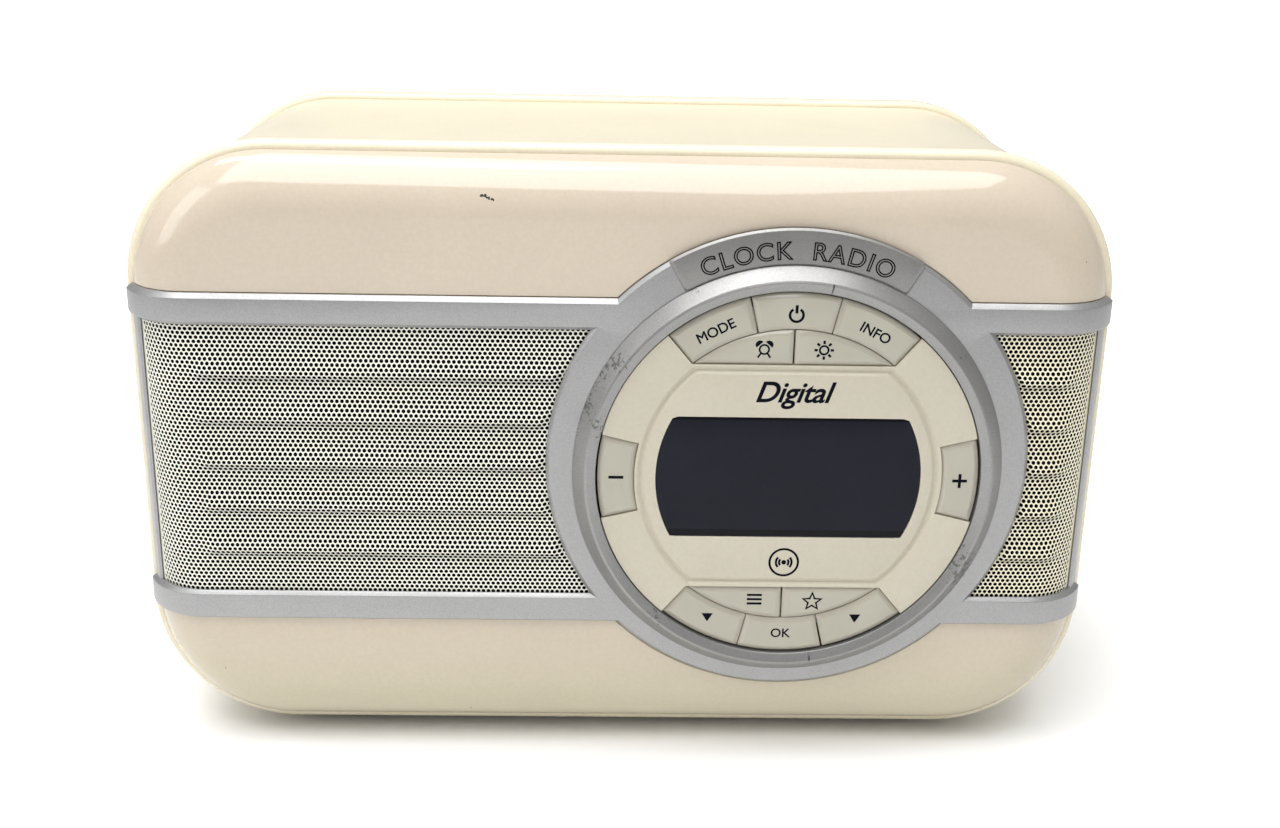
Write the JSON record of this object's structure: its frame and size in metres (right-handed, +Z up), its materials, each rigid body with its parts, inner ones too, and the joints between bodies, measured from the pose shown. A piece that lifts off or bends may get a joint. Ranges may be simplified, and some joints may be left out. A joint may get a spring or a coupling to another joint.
{
  "type": "clock radio",
  "caption": "Table-top clock radio with a rounded cream case, silver trim, perforated speaker panels, a round dial of keys around a display, and a telescopic aerial.",
  "frame": {"origin": "middle of the footprint, on the surface that the feet stand on", "axes": "+X to the right seen from the front, +Y from front to back, +Z up; the dial faces -Y"},
  "size_m": [0.278, 0.1621, 0.1799],
  "materials": {
    "shell_cream": "glossy moulded cream",
    "cabinet_cream": "glossy moulded cream, aged",
    "trim_silver": "satin silver paint with fine flake",
    "grille_paint": "cream painted perforated sheet",
    "grille_cloth": "black acoustic cloth",
    "panel_cream": "smooth cream",
    "key_cream": "translucent greenish cream",
    "window_dark": "dark tinted acrylic",
    "display_cell": "display glass",
    "circuit_board": "solder mask",
    "black_plastic": "fine texture",
    "steel": "zinc plated",
    "magnet_ferrite": "ferrite",
    "speaker_paper": "pulp cone",
    "foam": "closed-cell foam",
    "aluminium": "plain",
    "foot_rubber": "matt black",
    "aerial_chrome": "polished"
  },
  "bodies": {
    "case": {"antenna_mount": "black_plastic", "cabinet": "cabinet_cream", "capacitors": "aluminium", "connector_plate": "black_plastic", "dc_socket": "black_plastic", "dial_housing": "black_plastic", "dial_panel": "panel_cream", "dial_ring": "trim_silver", "display_module": "display_cell", "display_window": "window_dark", "feet": "foot_rubber", "front_screws": "steel", "front_shell": "shell_cream", "grille_cloth_left": "grille_cloth", "grille_cloth_right": "grille_cloth", "grille_left": "grille_paint", "grille_right": "grille_paint", "headphone_socket": "black_plastic", "heat_sink": "aluminium", "key_board": "circuit_board", "key_board_screws": "steel", "key_switches": "black_plastic", "label_plate": "trim_silver", "line_in_socket": "black_plastic", "main_board": "circuit_board", "main_board_screws": "steel", "port_tube": "black_plastic", "rear_screws": "steel", "rear_shell": "cabinet_cream", "small_speaker_body": "black_plastic", "small_speaker_cone": "speaker_paper", "socket_board": "circuit_board", "socket_board_screws": "steel", "speaker_basket": "steel", "speaker_cone": "speaker_paper", "speaker_gasket": "foam", "speaker_magnet": "magnet_ferrite", "speaker_screws": "steel", "trim_frame": "trim_silver", "tuner_module": "steel", "usb_socket": "steel"},
    "alarm_key": {"button_alarm": "key_cream"},
    "brightness_key": {"button_brightness": "key_cream"},
    "favourite_key": {"button_favourite": "key_cream"},
    "info_key": {"button_info": "key_cream"},
    "menu_key": {"button_menu": "key_cream"},
    "minus_key": {"button_minus": "key_cream"},
    "mode_key": {"button_mode": "key_cream"},
    "next_key": {"button_next": "key_cream"},
    "ok_key": {"button_ok": "key_cream"},
    "plus_key": {"button_plus": "key_cream"},
    "power_key": {"button_power": "key_cream"},
    "previous_key": {"button_previous": "key_cream"},
    "aerial_swivel": {"antenna_swivel": "aerial_chrome", "antenna_pin": "aerial_chrome"},
    "aerial_section_1": {"antenna_tube_1": "aerial_chrome"},
    "aerial_section_2": {"antenna_tube_2": "aerial_chrome"},
    "aerial_section_3": {"antenna_tube_3": "aerial_chrome"},
    "aerial_section_4": {"antenna_tube_4": "aerial_chrome"}
  },
  "joints": [
    {"name": "alarm_press", "type": "slide", "parent": "case", "child": "alarm_key", "axis": [0, 1, 0], "range_m": [0, 0.0008], "stiffness_N_per_m": 1000},
    {"name": "brightness_press", "type": "slide", "parent": "case", "child": "brightness_key", "axis": [0, 1, 0], "range_m": [0, 0.0008], "stiffness_N_per_m": 1000},
    {"name": "favourite_press", "type": "slide", "parent": "case", "child": "favourite_key", "axis": [0, 1, 0], "range_m": [0, 0.0008], "stiffness_N_per_m": 1000},
    {"name": "info_press", "type": "slide", "parent": "case", "child": "info_key", "axis": [0, 1, 0], "range_m": [0, 0.0008], "stiffness_N_per_m": 1000},
    {"name": "menu_press", "type": "slide", "parent": "case", "child": "menu_key", "axis": [0, 1, 0], "range_m": [0, 0.0008], "stiffness_N_per_m": 1000},
    {"name": "minus_press", "type": "slide", "parent": "case", "child": "minus_key", "axis": [0, 1, 0], "range_m": [0, 0.0008], "stiffness_N_per_m": 1000},
    {"name": "mode_press", "type": "slide", "parent": "case", "child": "mode_key", "axis": [0, 1, 0], "range_m": [0, 0.0008], "stiffness_N_per_m": 1000},
    {"name": "next_press", "type": "slide", "parent": "case", "child": "next_key", "axis": [0, 1, 0], "range_m": [0, 0.0008], "stiffness_N_per_m": 1000},
    {"name": "ok_press", "type": "slide", "parent": "case", "child": "ok_key", "axis": [0, 1, 0], "range_m": [0, 0.0008], "stiffness_N_per_m": 1000},
    {"name": "plus_press", "type": "slide", "parent": "case", "child": "plus_key", "axis": [0, 1, 0], "range_m": [0, 0.0008], "stiffness_N_per_m": 1000},
    {"name": "power_press", "type": "slide", "parent": "case", "child": "power_key", "axis": [0, 1, 0], "range_m": [0, 0.0008], "stiffness_N_per_m": 1000},
    {"name": "previous_press", "type": "slide", "parent": "case", "child": "previous_key", "axis": [0, 1, 0], "range_m": [0, 0.0008], "stiffness_N_per_m": 1000},
    {"name": "aerial_turn", "type": "hinge", "parent": "case", "child": "aerial_swivel", "pos_m": [0.088, 0.0716, 0.152], "axis": [0, 1, 0], "range_deg": [0, 180]},
    {"name": "aerial_elbow", "type": "hinge", "parent": "aerial_swivel", "child": "aerial_section_1", "pos_m": [0.088, 0.0776, 0.152], "axis": [0, 0, -1], "range_deg": [0, 90]},
    {"name": "aerial_slide_2", "type": "slide", "parent": "aerial_section_1", "child": "aerial_section_2", "axis": [-1, 0, 0], "range_m": [0, 0.098]},
    {"name": "aerial_slide_3", "type": "slide", "parent": "aerial_section_2", "child": "aerial_section_3", "axis": [-1, 0, 0], "range_m": [0, 0.098]},
    {"name": "aerial_slide_4", "type": "slide", "parent": "aerial_section_3", "child": "aerial_section_4", "axis": [-1, 0, 0], "range_m": [0, 0.098]}
  ]
}
